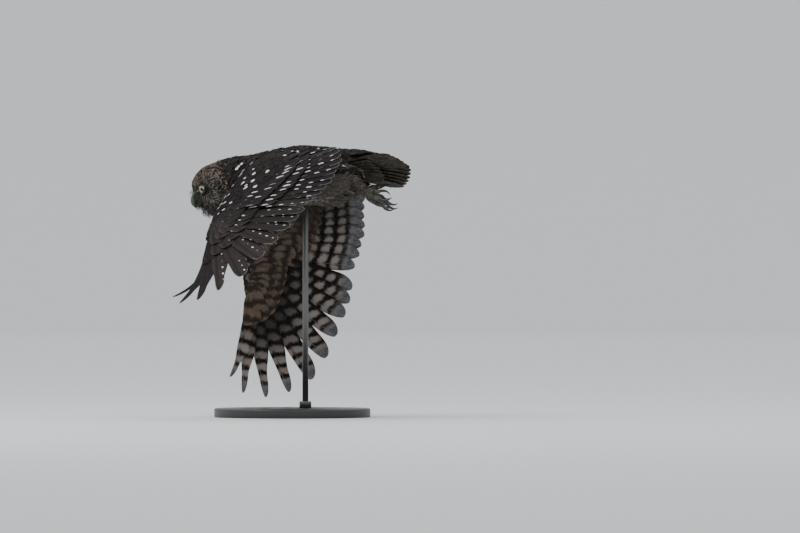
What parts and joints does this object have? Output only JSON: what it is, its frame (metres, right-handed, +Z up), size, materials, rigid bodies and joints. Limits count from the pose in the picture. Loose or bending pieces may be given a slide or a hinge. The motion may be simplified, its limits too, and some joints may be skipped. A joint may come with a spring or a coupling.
{
  "type": "little owl model",
  "caption": "Life-size little owl in flight with its wings swept down, on a plain round stand with a rod up to the belly.",
  "frame": {"origin": "Centre of the underside of the stand's round base.", "axes": "+X runs from the bird's head towards its tail, +Y towards the bird's right side, +Z up. The bird flies towards -X, banked to its right."},
  "size_m": [0.2233, 0.3168, 0.2715],
  "materials": {
    "body_plumage": "soft body feathers",
    "wing_plumage": "stiff barred feathers",
    "tail_plumage": "stiff barred feathers",
    "leg_plumage": "short down",
    "foot_skin": "scaly toes with bristles",
    "claw_horn": "smooth dark horn",
    "bill_horn": "smooth grey-green horn",
    "eye_glass": "polished",
    "stand_base": "matt dark paint",
    "stand_rod": "brushed"
  },
  "bodies": {
    "root": {"bill_lower": "bill_horn", "bill_upper": "bill_horn", "claw_left_hind": "claw_horn", "claw_left_inner": "claw_horn", "claw_left_middle": "claw_horn", "claw_left_outer": "claw_horn", "claw_right_hind": "claw_horn", "claw_right_inner": "claw_horn", "claw_right_middle": "claw_horn", "claw_right_outer": "claw_horn", "eye_left": "eye_glass", "eye_right": "eye_glass", "foot_left": "foot_skin", "foot_right": "foot_skin", "head": "body_plumage", "leg_left": "leg_plumage", "leg_right": "leg_plumage", "neck": "body_plumage", "stand_base": "stand_base", "stand_collar": "stand_rod", "stand_rod": "stand_rod", "tail": "tail_plumage", "torso": "body_plumage", "wing_left": "wing_plumage", "wing_right": "wing_plumage"}
  },
  "joints": []
}
